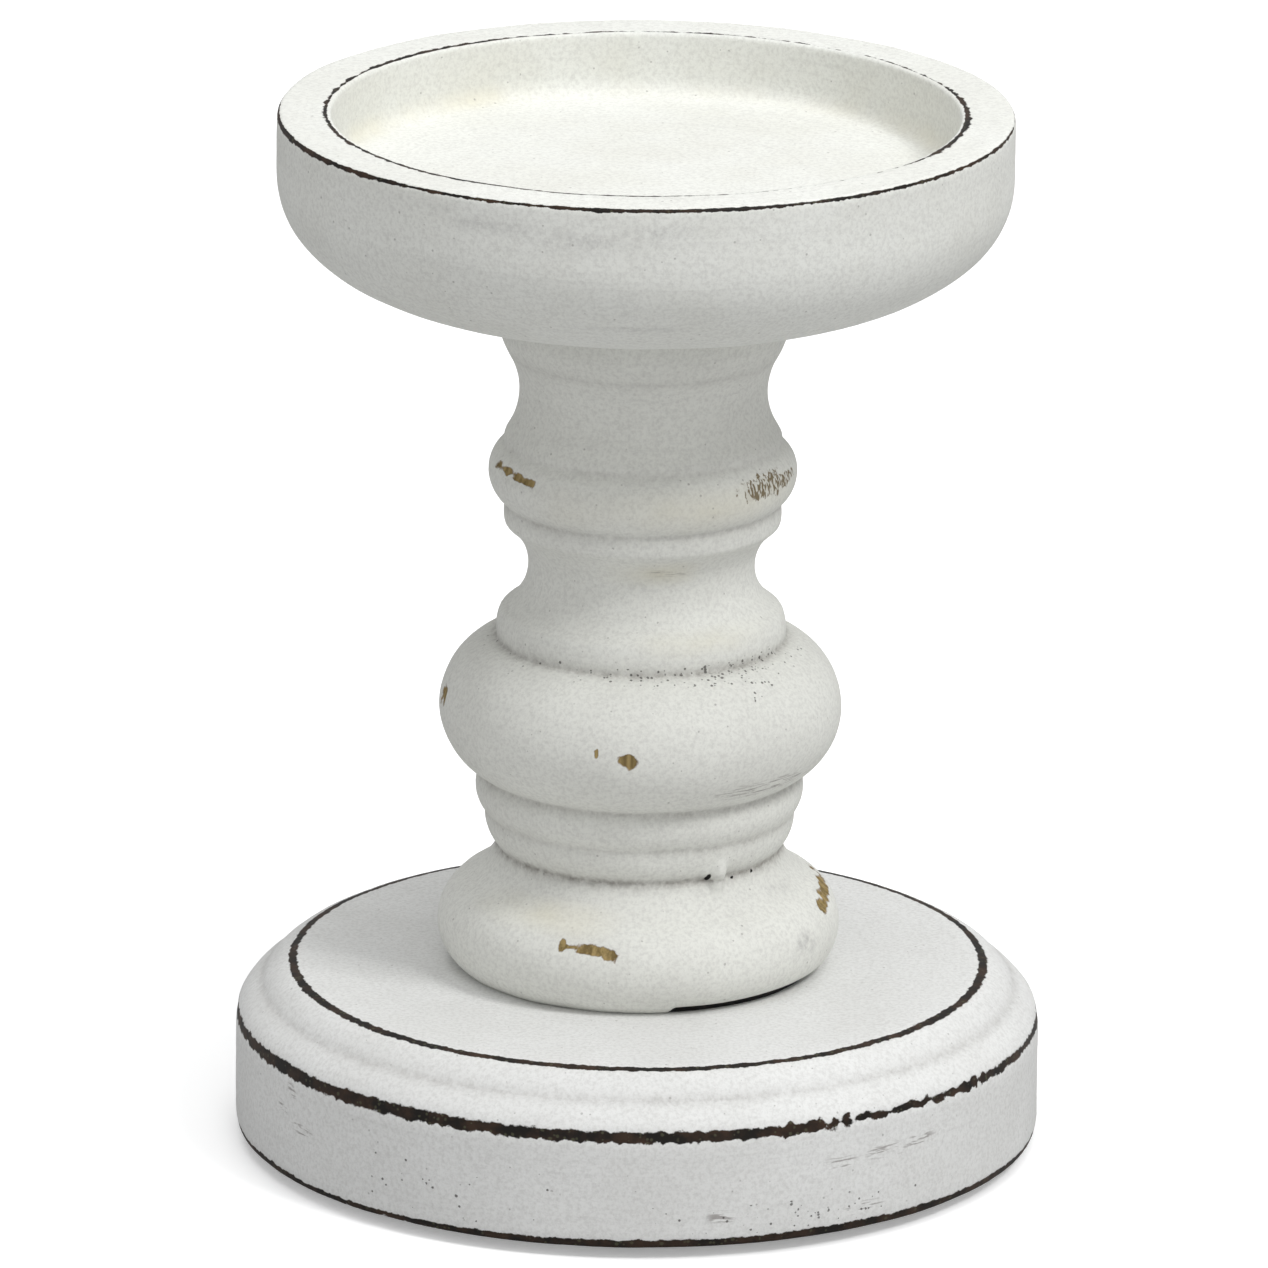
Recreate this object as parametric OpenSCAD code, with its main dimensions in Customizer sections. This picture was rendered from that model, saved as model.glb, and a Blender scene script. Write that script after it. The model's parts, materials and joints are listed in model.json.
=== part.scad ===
// Turned wooden candle holder for one pillar candle.
//
// Three turned pieces stand on one axis: a base disc with a moulded edge, a column of beads
// and coves, and a shallow cup with a round recess for the candle. A wood screw with a washer
// pulls the column down on the base from below, a double-ended screw hidden inside joins the
// column and the cup, and four felt pads keep the base off the table.
//
// Sizes are in millimetres. The origin is on the table, on the axis, and +Z points up.

/* [Base] */
// Diameter of the base disc
base_d = 115.4; // [100:0.2:150]
// Thickness of the base disc
base_t = 24.3; // [20:0.1:36]
// Width of the moulded edge, seen from above
edge_w = 7.9; // [6:0.1:12]
// Height of the moulded edge
edge_h = 7.4; // [6:0.1:10]
// Width of the lower of the edge's two rounded steps
edge_step_w = 3.7; // [2:0.1:5]
// Height of the lower of the edge's two rounded steps
edge_step_h = 4.0; // [2:0.1:5]
// How far both steps swell beyond a straight bevel
edge_swell = 0.45; // [0.1:0.05:0.7]
// Rounding of the bottom edge
base_round = 0.8; // [0.3:0.1:2]

/* [Column: foot and lower beads] */
// Diameter of the foot where it stands on the base
foot_d = 51.0; // [44:0.2:60]
// Height of the round foot
foot_h = 12.1; // [9:0.1:18]
// Swell of the round foot
foot_swell = 3.2; // [1:0.1:4.4]
// Diameter at the top of the round foot, where the hollow starts
hollow_d = 51.4; // [46:0.2:60]
// Height of the hollow above the foot
hollow_h = 5.8; // [4:0.1:9]
// Depth of the hollow above the foot
hollow_depth = 0.9; // [0.2:0.1:1.8]
// Diameter at the bottom of the groove under the lower bead
groove_d = 40.7; // [34:0.2:43]
// Height of the lower bead
lower_bead_h = 5.1; // [4:0.1:8]
// Swell of the lower bead
lower_bead_swell = 0.6; // [0.3:0.1:1.8]
// Diameter at the crease between the two lower beads
bead_crease_d = 44.3; // [40:0.2:50]
// Height of the second bead
second_bead_h = 5.9; // [4:0.1:9]
// Swell of the second bead
second_bead_swell = 1.0; // [0.3:0.1:2]

/* [Column: bulb] */
// Diameter at the crease under the bulb
bulb_foot_d = 45.6; // [40:0.2:52]
// Height of the bulb
bulb_h = 19.7; // [16:0.1:28]
// Swell of the bulb
bulb_swell = 7.05; // [2:0.05:7.8]

/* [Column: coves and upper bead] */
// Diameter at the crease on top of the bulb
collar_d = 41.2; // [36:0.2:46]
// Height of the small collar on the bulb
collar_h = 4.1; // [2:0.1:7]
// Swell of the small collar
collar_swell = 0.3; // [0.1:0.05:0.9]
// Diameter at the lower edge of the lower cove
cove_d = 40.3; // [36:0.2:46]
// Height of the lower cove
cove_h = 12.8; // [10:0.1:20]
// Depth of the lower cove
cove_depth = 3.75; // [1:0.05:4.8]
// Diameter of the fillet between the lower cove and the upper bead
fillet_d = 39.2; // [34:0.2:46]
// Height of that fillet
fillet_h = 3.3; // [1.5:0.1:5]
// Swell of both small fillets
fillet_swell = 0.25; // [0.05:0.05:0.5]
// Height of the upper bead
upper_bead_h = 8.7; // [6:0.1:14]
// Swell of the upper bead
upper_bead_swell = 2.4; // [1:0.1:2.9]
// Height of the small fillet above the upper bead
arris_h = 1.35; // [1.1:0.05:3]
// Height of the upper cove
upper_cove_h = 12.2; // [9:0.1:20]
// Depth of the upper cove
upper_cove_depth = 1.9; // [0.5:0.1:4]
// Diameter where the neck under the cup starts
neck_d = 38.9; // [34:0.2:46]
// Height of the neck under the cup
neck_h = 9.65; // [6:0.05:16]
// Swell of the neck under the cup
neck_swell = 0.9; // [0.1:0.1:2.5]
// Diameter at the top of the neck, where the cup sits on it
neck_top_d = 41.2; // [34:0.2:50]

/* [Cup] */
// Diameter of the recess that holds the candle
recess_d = 89.0; // [74:0.5:110]
// Depth of the recess
recess_depth = 9.0; // [6:0.1:16]
// Fillet between the wall and the floor of the recess
recess_fillet = 2.0; // [0.5:0.1:3]
// Width of the flat rim around the recess
rim_w = 7.7; // [5:0.1:12]
// Rounding of the rim's two edges
rim_round = 0.5; // [0.2:0.1:1]
// Thickness of wood under the recess
cup_floor_t = 16.0; // [13.3:0.1:24]
// Height of the rounded lower part of the cup
cup_curve_h = 16.0; // [14.5:0.1:18]
// Radius of the rounded part where it meets the upright side
cup_side_r = 13.0; // [10:0.1:13.4]
// Diameter of the flat underside of the cup
cup_flat_d = 63.3; // [54:0.1:66]

/* [Screws] */
// Outer diameter of the base screw's thread
base_screw_d = 5.0; // [4:0.1:6]
// Length of the base screw under its head
base_screw_len = 50; // [40:1:70]
// Diameter of the base screw's pan head
base_screw_head_d = 9.6; // [8:0.1:12]
// Height of the base screw's pan head
base_screw_head_h = 3.4; // [2.8:0.1:4]
// Diameter of the counterbore under the base
counterbore_d = 20; // [17.5:0.5:26]
// Depth of the counterbore under the base
counterbore_depth = 8.0; // [6.6:0.1:11]
// Outer diameter of the washer
washer_d = 16; // [12:0.5:17]
// Thickness of the washer
washer_t = 1.2; // [0.8:0.1:2]
// Outer diameter of the double-ended screw
cup_screw_d = 6.0; // [5:0.1:8]
// Length of the double-ended screw inside the column
cup_screw_column_len = 24; // [18:1:32]
// Length of the double-ended screw inside the cup
cup_screw_cup_len = 11.0; // [8:0.1:11.5]
// Pitch of both screw threads
thread_pitch = 2.4; // [1.8:0.1:3]

/* [Felt pads] */
// Diameter of one felt pad
pad_d = 14; // [8:0.5:20]
// Thickness of the felt pads
pad_t = 1.5; // [1:0.1:3]
// Distance from the side of the base to a pad
pad_inset = 8.0; // [5:0.5:14]

/* [Fit] */
// Gap all round between the base screw's shank and the wood or the washer
shank_gap = 0.3; // [0.2:0.05:0.6]
// Gap all round between a thread's crest and the wood
thread_gap = 0.05; // [0.02:0.01:0.2]
// Empty length of a hole beyond the screw's point
point_gap = 1.0; // [0.5:0.1:1.4]

/* [Hidden] */
PAD_COUNT = 4;
PAD_NODES = [for (i = [1:PAD_COUNT]) str("felt_pad_", i)];

WOOD_COLOUR = "whitesmoke";
STEEL_COLOUR = "silver";
FELT_COLOUR = "dimgray";

$fn = 96;
LAP = 0.3;                 // how far a cut runs past the face that it opens
ARC_STEP = 5;              // degrees of an arc between two points of an outline
THREAD_DEPTH = 0.16;       // depth of a thread as a share of its outer diameter
CREST = 0.12;              // flat on a thread's crest as a share of its pitch
PLAIN_SHANK = 0.3;         // share of the base screw that carries no thread
POINT_LEN = 1.2;           // length of a screw's point as a share of its outer diameter

// Heights of the faces where one piece meets the next
base_bottom_z = pad_t;
base_top_z = base_bottom_z + base_t;
washer_top_z = base_bottom_z + counterbore_depth;
head_top_z = washer_top_z - washer_t;

// The column from its foot up: diameter at the lower end, height, swell of each turned form
COLUMN_FORMS = [
    [foot_d, foot_h, foot_swell],
    [hollow_d, hollow_h, -hollow_depth],
    [groove_d, lower_bead_h, lower_bead_swell],
    [bead_crease_d, second_bead_h, second_bead_swell],
    [bulb_foot_d, bulb_h, bulb_swell],
    [collar_d, collar_h, collar_swell],
    [cove_d, cove_h, -cove_depth],
    [fillet_d, fillet_h, fillet_swell],
    [fillet_d, upper_bead_h, upper_bead_swell],
    [fillet_d, arris_h, fillet_swell],
    [fillet_d, upper_cove_h, -upper_cove_depth],
    [neck_d, neck_h, neck_swell]
];
column_h = height_under(COLUMN_FORMS, len(COLUMN_FORMS));
cup_bottom_z = base_top_z + column_h;
cup_h = cup_floor_t + recess_depth;
cup_r = recess_d / 2 + rim_w;

// How deep the base screw reaches into the column
base_screw_bite = head_top_z + base_screw_len - base_top_z;

// Height of the foot of form number i above the lowest form
function height_under(forms, i) = i == 0 ? 0 : height_under(forms, i - 1) + forms[i - 1][1];

// Swell of a quarter-round edge of radius r over its chord
function quarter_swell(r) = r * (1 - cos(45));

// Swell of an arc of radius r over a chord from p to q
function arc_swell(p, q, r) = r - sqrt(r * r - pow(norm(q - p) / 2, 2));

// Radius of the arc that swells by s over a chord of length c
function arc_radius(c, s) = (c * c / 4 + s * s) / (2 * s);

// ---- Turned profiles ---------------------------------------------------------------------
// A profile is a list of [radius, height, swell] that runs from the axis along the underside,
// up the outside and back to the axis. The swell bows the stretch from a point to the next
// one: outwards when it is positive, inwards when it is negative, straight when it is 0.

function point_of(station) = [station[0], station[1]];

// Points along the arc over the stretch from p to q, without p and q themselves
function arc_points(p, q, swell) =
    swell == 0 ? [] :
    let (
        chord = norm(q - p),
        depth = abs(swell),
        radius = arc_radius(chord, depth),
        half_angle = asin(chord / 2 / radius),
        steps = max(2, ceil(2 * half_angle / ARC_STEP)),
        along = (q - p) / chord,
        outward = sign(swell) * [along[1], -along[0]]
    )
    [for (k = [1:steps - 1])
        let (angle = half_angle * (2 * k / steps - 1))
        (p + q) / 2 + along * radius * sin(angle)
            + outward * (radius * cos(angle) - radius + depth)];

function profile_points(stations) =
    [for (i = [0:len(stations) - 1])
        let (here = point_of(stations[i]), next = point_of(stations[min(i + 1, len(stations) - 1)]))
        each concat([here], arc_points(here, next, stations[i][2]))];

module turned(stations) {
    rotate_extrude()
        polygon(profile_points(stations));
}

// Round hole on the axis, from one height to another
module axis_hole(diameter, from_z, to_z) {
    translate([0, 0, from_z])
        cylinder(h = to_z - from_z, d = diameter);
}

// ---- Base --------------------------------------------------------------------------------

module base_disc() {
    r = base_d / 2;
    top_r = r - edge_w;
    color(WOOD_COLOUR)
        translate([0, 0, base_bottom_z])
            difference() {
                turned([
                    [0, 0, 0],
                    [r - base_round, 0, quarter_swell(base_round)],
                    [r, base_round, 0],
                    [r, base_t - edge_h, edge_swell],
                    [r - edge_step_w, base_t - edge_h + edge_step_h, edge_swell],
                    [top_r, base_t, 0],
                    [0, base_t, 0]
                ]);
                axis_hole(counterbore_d, -LAP, counterbore_depth);
                axis_hole(base_screw_d + 2 * shank_gap, 0, base_t + LAP);
            }
}

// ---- Column ------------------------------------------------------------------------------

module column() {
    forms = len(COLUMN_FORMS);
    color(WOOD_COLOUR)
        translate([0, 0, base_top_z])
            difference() {
                turned(concat(
                    [[0, 0, 0]],
                    [for (i = [0:forms - 1])
                        [COLUMN_FORMS[i][0] / 2, height_under(COLUMN_FORMS, i), COLUMN_FORMS[i][2]]],
                    [[neck_top_d / 2, column_h, 0], [0, column_h, 0]]
                ));
                axis_hole(base_screw_d + 2 * thread_gap, -LAP, base_screw_bite + point_gap);
                axis_hole(
                    cup_screw_d + 2 * thread_gap,
                    column_h - cup_screw_column_len - point_gap,
                    column_h + LAP
                );
            }
}

// ---- Cup ---------------------------------------------------------------------------------

// The rounded underside is two arcs that run smoothly into each other: a wide one from the
// flat underside and a tighter one into the upright side.
module candle_cup() {
    flat_r = cup_flat_d / 2;
    recess_r = recess_d / 2;
    reach = cup_r - flat_r;
    wide_r = (pow(reach, 2) + pow(cup_curve_h, 2) - 2 * reach * cup_side_r)
        / (2 * (cup_curve_h - cup_side_r));
    wide_centre = [flat_r, wide_r];
    side_centre = [cup_r - cup_side_r, cup_curve_h];
    way = side_centre - wide_centre;
    meet = wide_centre + way * wide_r / norm(way);
    flat_end = [flat_r, 0];
    side_end = [cup_r, cup_curve_h];
    color(WOOD_COLOUR)
        translate([0, 0, cup_bottom_z])
            difference() {
                turned([
                    [0, 0, 0],
                    [flat_end[0], flat_end[1], arc_swell(flat_end, meet, wide_r)],
                    [meet[0], meet[1], arc_swell(meet, side_end, cup_side_r)],
                    [side_end[0], side_end[1], 0],
                    [cup_r, cup_h - rim_round, quarter_swell(rim_round)],
                    [cup_r - rim_round, cup_h, 0],
                    [recess_r + rim_round, cup_h, quarter_swell(rim_round)],
                    [recess_r, cup_h - rim_round, 0],
                    [recess_r, cup_floor_t + recess_fillet, -quarter_swell(recess_fillet)],
                    [recess_r - recess_fillet, cup_floor_t, 0],
                    [0, cup_floor_t, 0]
                ]);
                axis_hole(cup_screw_d + 2 * thread_gap, -LAP, cup_screw_cup_len + point_gap);
            }
}

// ---- Screws ------------------------------------------------------------------------------

// Stations of a thread from one height to another, as ridges one pitch apart
function thread(diameter, from_z, to_z) =
    let (
        crest_r = diameter / 2,
        root_r = crest_r - diameter * THREAD_DEPTH,
        turns = floor((to_z - from_z) / thread_pitch),
        flat = thread_pitch * CREST
    )
    [for (i = [0:turns - 1], s = [
        [root_r, 0],
        [crest_r, (thread_pitch - flat) / 2],
        [crest_r, (thread_pitch + flat) / 2]
    ])
        [s[0], from_z + i * thread_pitch + s[1], 0]];

// Root of a thread where its last ridge ends
function thread_end(diameter, from_z, to_z) =
    [diameter / 2 - diameter * THREAD_DEPTH,
     from_z + floor((to_z - from_z) / thread_pitch) * thread_pitch, 0];

module base_screw() {
    head_r = base_screw_head_d / 2;
    shank_r = base_screw_d / 2;
    head_side_h = base_screw_head_h * 0.4;
    thread_start = base_screw_head_h + base_screw_len * PLAIN_SHANK;
    tip = base_screw_head_h + base_screw_len;
    thread_stop = tip - POINT_LEN * base_screw_d;
    color(STEEL_COLOUR)
        translate([0, 0, head_top_z - base_screw_head_h])
            difference() {
                turned(concat(
                    [
                        [0, 0, 0],
                        [head_r / 2, 0, head_r * 0.12],
                        [head_r, base_screw_head_h - head_side_h, 0],
                        [head_r, base_screw_head_h, 0],
                        [shank_r, base_screw_head_h, 0],
                        [shank_r, thread_start - shank_r * 2 * THREAD_DEPTH, 0]
                    ],
                    thread(base_screw_d, thread_start, thread_stop),
                    [thread_end(base_screw_d, thread_start, thread_stop), [0, tip, 0]]
                ));
                cross_slot(base_screw_head_d, base_screw_head_h * 0.6);
            }
}

// Cross recess of a screw head, cut upwards from the head's lower face
module cross_slot(head_diameter, depth) {
    arm = head_diameter * 0.5;
    width = head_diameter * 0.13;
    translate([0, 0, -LAP])
        linear_extrude(depth + LAP) {
            square([arm, width], center = true);
            square([width, arm], center = true);
        }
}

module base_washer() {
    color(STEEL_COLOUR)
        translate([0, 0, head_top_z])
            difference() {
                cylinder(h = washer_t, d = washer_d);
                axis_hole(base_screw_d + 2 * shank_gap, -LAP, washer_t + LAP);
            }
}

module cup_screw() {
    point = POINT_LEN * cup_screw_d;
    waist = thread_pitch;
    root_r = cup_screw_d / 2 - cup_screw_d * THREAD_DEPTH;
    color(STEEL_COLOUR)
        translate([0, 0, cup_bottom_z])
            turned(concat(
                [[0, -cup_screw_column_len, 0]],
                thread(cup_screw_d, point - cup_screw_column_len, -waist),
                [
                    thread_end(cup_screw_d, point - cup_screw_column_len, -waist),
                    [root_r, waist, 0]
                ],
                thread(cup_screw_d, waist + LAP, cup_screw_cup_len - point / 2),
                [
                    thread_end(cup_screw_d, waist + LAP, cup_screw_cup_len - point / 2),
                    [0, cup_screw_cup_len, 0]
                ]
            ));
}

// ---- Felt pads ---------------------------------------------------------------------------

module felt_pad(number) {
    pad_circle_r = base_d / 2 - pad_inset - pad_d / 2;
    color(FELT_COLOUR)
        rotate((number - 0.5) * 360 / PAD_COUNT)
            translate([pad_circle_r, 0, 0])
                cylinder(h = pad_t, d = pad_d);
}

base_disc();
column();
candle_cup();
base_screw();
base_washer();
cup_screw();
felt_pad(1);  // felt_pad_1
felt_pad(2);  // felt_pad_2
felt_pad(3);  // felt_pad_3
felt_pad(4);  // felt_pad_4
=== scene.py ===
# %% [markdown]
# # A turned wooden candlestick in worn chalk paint
# The object is three pieces of turned wood: a stepped round base, a column of beads and
# hollows, and a wide cup for a pillar candle. Two screws hold them together and four felt
# pads stand under the base. Every size is read from the imported model, so a visible piece
# goes exactly where its solid is. The model's own box is kept.

# %% Load the fixed frame
import json
import math
import bpy
import numpy as np
from mathutils import Matrix, Vector, noise

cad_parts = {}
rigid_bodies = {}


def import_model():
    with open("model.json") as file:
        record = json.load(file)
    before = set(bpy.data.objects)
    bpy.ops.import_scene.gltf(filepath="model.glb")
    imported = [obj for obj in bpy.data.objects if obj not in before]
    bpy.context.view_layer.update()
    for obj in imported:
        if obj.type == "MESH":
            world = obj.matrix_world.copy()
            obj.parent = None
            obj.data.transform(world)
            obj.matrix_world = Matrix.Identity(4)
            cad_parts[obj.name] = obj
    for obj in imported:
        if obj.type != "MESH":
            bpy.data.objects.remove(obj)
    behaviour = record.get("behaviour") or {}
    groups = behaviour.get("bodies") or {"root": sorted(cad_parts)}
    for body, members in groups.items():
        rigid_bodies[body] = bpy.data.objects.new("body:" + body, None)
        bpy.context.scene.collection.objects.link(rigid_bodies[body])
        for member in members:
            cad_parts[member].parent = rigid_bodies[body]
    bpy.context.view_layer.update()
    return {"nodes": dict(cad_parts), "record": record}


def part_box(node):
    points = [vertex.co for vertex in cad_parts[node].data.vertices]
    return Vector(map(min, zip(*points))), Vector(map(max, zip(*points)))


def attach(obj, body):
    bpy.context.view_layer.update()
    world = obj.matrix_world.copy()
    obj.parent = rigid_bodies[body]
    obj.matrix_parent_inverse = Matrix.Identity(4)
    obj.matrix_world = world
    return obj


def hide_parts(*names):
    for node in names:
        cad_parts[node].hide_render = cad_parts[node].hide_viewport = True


for leftover in list(bpy.data.objects):
    bpy.data.objects.remove(leftover)
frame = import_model()
print("pieces in the frame:", ", ".join(sorted(frame["nodes"])))

# %% [markdown]
# ## Reading a turned outline back
# A turned piece is one outline swept round an axis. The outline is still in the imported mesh:
# at each height, the widest vertex lies on it. Reading it back means that the fine visible
# mesh and the solid can never disagree. Screw holes give levels that only have small radii.

# %% Read the levels of a turned piece
MM = 0.001
SCREW_HOLE_LIMIT = 12.0  # mm: a level with no larger radius is only in a screw hole


def levels(node):
    """Each height in a node's mesh with the radii found there, in millimetres."""
    mesh = frame["nodes"][node].data
    flat = np.empty(len(mesh.vertices) * 3)
    mesh.vertices.foreach_get("co", flat)
    points = flat.reshape(-1, 3) / MM
    reach = np.hypot(points[:, 0], points[:, 1]).round(3)
    height = points[:, 2].round(3)
    return {float(z): np.unique(reach[height == z]) for z in np.unique(height)}


def outer_line(node, recess=(0, 0)):
    """The outside of a turned piece from bottom to top, as (radius, height) pairs.

    Levels that only a screw hole or a recess (its radius and floor height) reaches are left out."""
    line = []
    for z, radii in levels(node).items():
        widest = float(radii[-1])
        in_recess = z > recess[1] and widest < recess[0] + 0.01
        if widest > SCREW_HOLE_LIMIT and not in_recess:
            line.append((widest, z))
    return line


def hole_levels(node):
    """The heights that only a screw hole reaches, with the hole's widest radius there."""
    found = levels(node).items()
    return [(float(radii[-1]), z) for z, radii in found if radii[-1] <= SCREW_HOLE_LIMIT]


for wood in ("base_disc", "column", "candle_cup"):
    print(wood, "outline points:", len(outer_line(wood)), "screw hole ends:", hole_levels(wood))

# %% [markdown]
# ## From a coarse outline to fine rows
# A worn edge, a chip or a run of paint is a fraction of a millimetre, so the mesh needs rows
# that close together near each corner and on each tight curve, and wider apart on plain
# stretches. Between two sharp corners the outline is smooth, so a smooth curve through its
# points gives rows at any spacing, and a light smoothing rounds the corners as paint does.

# %% Space fine rows along an outline
CORNER_TURN = 12  # degrees: an outline that turns more has a corner there
FINEST = 0.2  # mm between rows at a corner
CLOSENESS = 6  # rows on a curve are at most this many of its own legs apart
WIDENING = 0.4  # how fast the spacing may grow with the distance from a corner
LONG_LEG = 2.0  # mm: a longer leg is a flat
STRAIGHT_SPACING = 3.0  # mm between rows on a flat
UPRIGHT_LEAN = 0.5  # mm: a stretch that leans less stands upright and keeps its close rows
PAINT_SOFTENING = 2  # passes of smoothing


def turns(line):
    """How far the outline turns left at each inner point, in degrees."""
    step = np.diff(np.array(line), axis=0)
    heading = np.unwrap(np.arctan2(step[:, 1], step[:, 0]))
    return np.degrees(np.diff(heading))


def corners(line):
    """The places of an outline's corners in its list, both ends included."""
    sharp = np.where(np.abs(turns(line)) > CORNER_TURN)[0] + 1
    return [0, *sharp.tolist(), len(line) - 1]


def spaced(points, coarse):
    """Distances along a stretch: close at its ends and where its own points are close."""
    run = np.concatenate([[0], np.cumsum(np.hypot(*np.diff(points, axis=0).T))])
    wanted = np.clip(CLOSENESS * np.diff(run), FINEST, coarse)
    middles = (run[1:] + run[:-1]) / 2
    places = [0.0]
    step = FINEST
    while places[-1] + 1.5 * step < run[-1]:
        here = places[-1]
        tight = (wanted + WIDENING * np.abs(middles - here)).min()
        step = min(coarse, tight, FINEST + WIDENING * min(here, run[-1] - here))
        places.append(here + step)
    return np.array([*places, run[-1]])


def smooth_curve(points, places):
    """Points on a smooth curve through the given ones, at these distances along it.

    A long leg between two points is a flat, so it stays straight."""
    run = np.concatenate([[0], np.cumsum(np.hypot(*np.diff(points, axis=0).T))])
    slope = np.gradient(points, run, axis=0)
    k = np.clip(np.searchsorted(run, places) - 1, 0, len(run) - 2)
    width = (run[k + 1] - run[k])[:, None]
    t = (places[:, None] - run[k][:, None]) / width
    start = (1 + 2 * t) * (1 - t) ** 2 * points[k] + t * (1 - t) ** 2 * width * slope[k]
    end = t * t * (3 - 2 * t) * points[k + 1] + t * t * (t - 1) * width * slope[k + 1]
    straight = points[k] * (1 - t) + points[k + 1] * t
    return np.where(width > LONG_LEG, straight, start + end)


def fine_rows(line, coarse):
    """The rows of a turned piece, as an array of (radius, height).

    A level flat has few rows, and a screw hole only has rows at its ends."""
    points = np.array(line, float)
    marks = corners(line)
    rows = [points[:1]]
    for first, last in zip(marks[:-1], marks[1:]):
        stretch = points[first:last + 1]
        upright = abs(stretch[0, 0] - stretch[-1, 0]) < UPRIGHT_LEAN
        plain = len(stretch) == 2 and not upright
        places = spaced(stretch, STRAIGHT_SPACING if plain else coarse)
        if stretch[:, 0].max() < SCREW_HOLE_LIMIT:
            places = places[[0, -1]]
        rows.append(smooth_curve(stretch, places)[1:])
    rows = np.concatenate(rows)
    for _ in range(PAINT_SOFTENING):
        softer = (rows[:-2] + 2 * rows[1:-1] + rows[2:]) / 4
        outside = rows[1:-1, :1] > SCREW_HOLE_LIMIT
        rows[1:-1] = np.where(outside, softer, rows[1:-1])
    return rows


print("rows on the outside of the column:", len(fine_rows(outer_line("column"), 0.7)))

# %% [markdown]
# ## A turned surface that can be dented
# The lathe in Blender is the Screw modifier, but it turns every row into a perfect circle.
# Here each row and each angle has its own small offset along the surface's normal, so that
# one function can make a nick or a drip anywhere. The same grid carries the paint's masks,
# such as how worn a place is, as named attributes that the materials read.

# %% A turned surface and its fields
class Turned:
    """A turned surface: rows along its outline, angles round it, and what is on it."""

    def __init__(self, line, coarse, segments, looped=False):
        self.rows = fine_rows(line, coarse)
        self.looped = looped
        self.angles = np.arange(segments) * 2 * math.pi / segments
        step = np.gradient(self.rows, axis=0)
        step /= np.maximum(np.hypot(*step.T), 1e-9)[:, None]
        self.normal = np.column_stack([step[:, 1], -step[:, 0]])
        legs = np.hypot(*np.diff(self.rows, axis=0).T)
        self.along = np.concatenate([[0], np.cumsum(legs)])
        shape = (len(self.rows), segments)
        self.raised = np.zeros(shape)
        self.lifted = np.zeros(shape)
        self.fields = {}

    def nearest_row(self, radius, height):
        """The row closest to a point of the outline."""
        return int(np.argmin(np.hypot(self.rows[:, 0] - radius, self.rows[:, 1] - height)))

    def away(self, radius, height):
        """Distance of each row from that point, along the surface."""
        return np.abs(self.along - self.along[self.nearest_row(radius, height)])

    def points(self):
        """Where each grid point is, in millimetres. Angle 0 is the front, -Y."""
        reach = self.rows[:, :1] + self.normal[:, :1] * self.raised
        height = self.rows[:, 1:] + self.normal[:, 1:] * self.raised + self.lifted
        reach = np.maximum(reach, 0)
        return np.stack([reach * np.sin(self.angles), -reach * np.cos(self.angles), height], -1)

    def mark(self, name, field):
        """Keeps the larger of this field and what the named one already holds."""
        old = self.fields.get(name, np.zeros(self.raised.shape))
        self.fields[name] = np.maximum(old, np.clip(field, 0, 1))


print("a turned surface holds offsets and fields for every row and angle")

# %% [markdown]
# The mesh joins the grid with quads. A row on the axis is a single point, so its quads
# become triangles, and a piece with a hole right through it joins its last row to its first.

# %% Make a mesh from a turned surface
def joined_faces(grid):
    """The grid's quads, with repeated corners dropped, so a pole gets triangles."""
    after = np.roll(grid, -1, axis=1)
    quads = np.stack([grid[:-1], after[:-1], after[1:], grid[1:]], -1).reshape(-1, 4)
    return [list(dict.fromkeys(quad)) for quad in quads.tolist()]


def turned_mesh(name, surface):
    """A smooth mesh object in metres with the surface's fields as vertex attributes."""
    points = surface.points()
    grid = np.arange(points[..., 0].size).reshape(points.shape[:2])
    for row in np.where(surface.rows[:, 0] < 1e-6)[0]:
        grid[row] = grid[row, 0]
    if surface.looped:
        grid = np.vstack([grid, grid[:1]])
    used, packed = np.unique(grid, return_inverse=True)
    faces = joined_faces(packed.reshape(grid.shape))
    mesh = bpy.data.meshes.new(name)
    mesh.from_pydata(points.reshape(-1, 3)[used] * MM, [], faces)
    for label, field in surface.fields.items():
        attribute = mesh.attributes.new(label, "FLOAT", "POINT")
        attribute.data.foreach_set("value", field.ravel()[used].astype(np.float32))
    mesh.shade_smooth()
    thing = bpy.data.objects.new(name, mesh)
    bpy.context.scene.collection.objects.link(thing)
    print(name, "has", len(mesh.vertices), "vertices and", len(mesh.polygons), "faces")
    return thing


# %% [markdown]
# ## Unevenness that repeats exactly
# Hand work is uneven, yet a script has to give the same piece every time. A few cosines with
# seeded phases give a value that goes round the piece and meets itself. Solid noise gives an
# unevenness that has no seam anywhere. Patches say where a hand rubbed harder or missed.

# %% Unevenness round a piece and over it
WAVES = (2, 3, 5, 7, 11, 17, 26, 41, 63)


def degrees_from(surface, centre):
    """How far each angle of the piece is from this one, from -180 to 180."""
    return (np.degrees(surface.angles) - centre + 180) % 360 - 180


def around(surface, level, unevenness, seed, patches=()):
    """A value round the piece: a level, seeded waves, and (angle, spread, change) patches."""
    draw = np.random.default_rng(seed)
    value = np.full(len(surface.angles), float(level))
    for waves in WAVES:
        phase = draw.uniform(0, 6.28)
        value += unevenness * waves ** -0.4 * np.cos(waves * surface.angles + phase)
    for centre, spread, change in patches:
        value += change * np.exp(-(degrees_from(surface, centre) / spread) ** 4)
    return value


def solid_noise(surface, size, seed):
    """Noise from about -1 to 1 at each grid point, with lumps of this size in millimetres."""
    shift = Vector((seed * 7.3, seed * 3.1, seed * 5.7))
    places = (surface.points() / size).reshape(-1, 3)
    values = [noise.noise(Vector(place) + shift) for place in places.tolist()]
    return np.array(values).reshape(surface.raised.shape) * 1.6


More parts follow.
